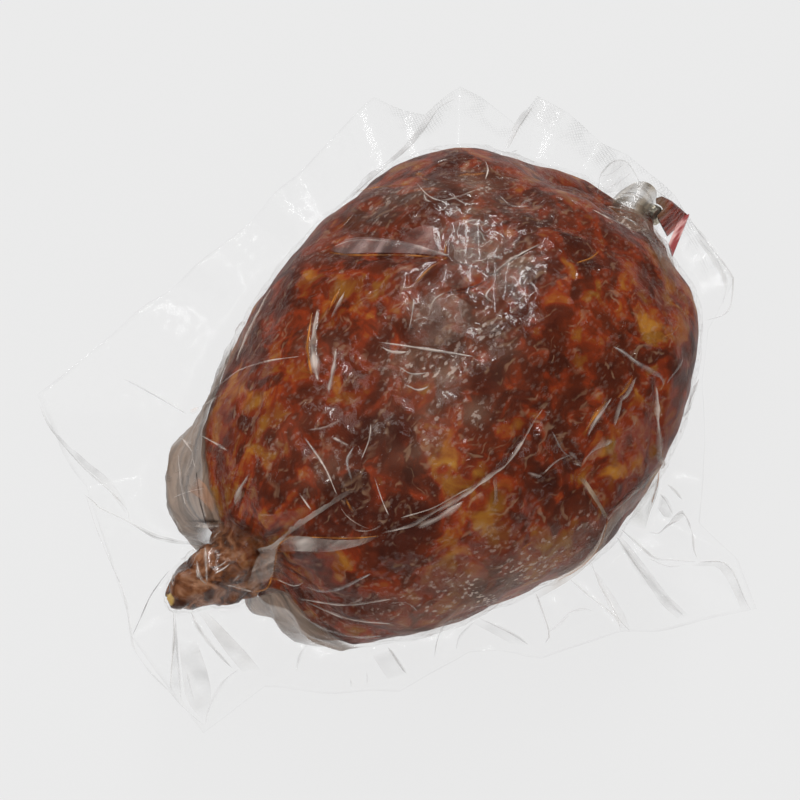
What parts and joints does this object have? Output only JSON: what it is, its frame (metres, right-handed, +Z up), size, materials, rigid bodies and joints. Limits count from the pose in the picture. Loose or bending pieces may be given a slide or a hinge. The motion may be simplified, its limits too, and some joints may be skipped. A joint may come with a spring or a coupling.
{
  "type": "cold-smoked sausage in a vacuum pouch",
  "caption": "Round cold-smoked sausage with a tied tail and a clipped end, sealed in a clear vacuum pouch with a wavy border.",
  "frame": {"origin": "on the small flat spot that the sausage rests on, under the middle of the sausage", "axes": "+X along the sausage from the tied end to the clipped end, +Z up"},
  "size_m": [0.1871, 0.1678, 0.0842],
  "materials": {
    "smoked_meat": "glossy, mottled maroon lean and orange-brown fat",
    "clip_metal": "satin",
    "empty_casing": "glossy, dark red",
    "pouch_film": "clear gloss film"
  },
  "bodies": {
    "root": {"sausage": "smoked_meat", "end_clip": "clip_metal", "casing_ribbon": "empty_casing", "vacuum_bag": "pouch_film"}
  },
  "joints": []
}
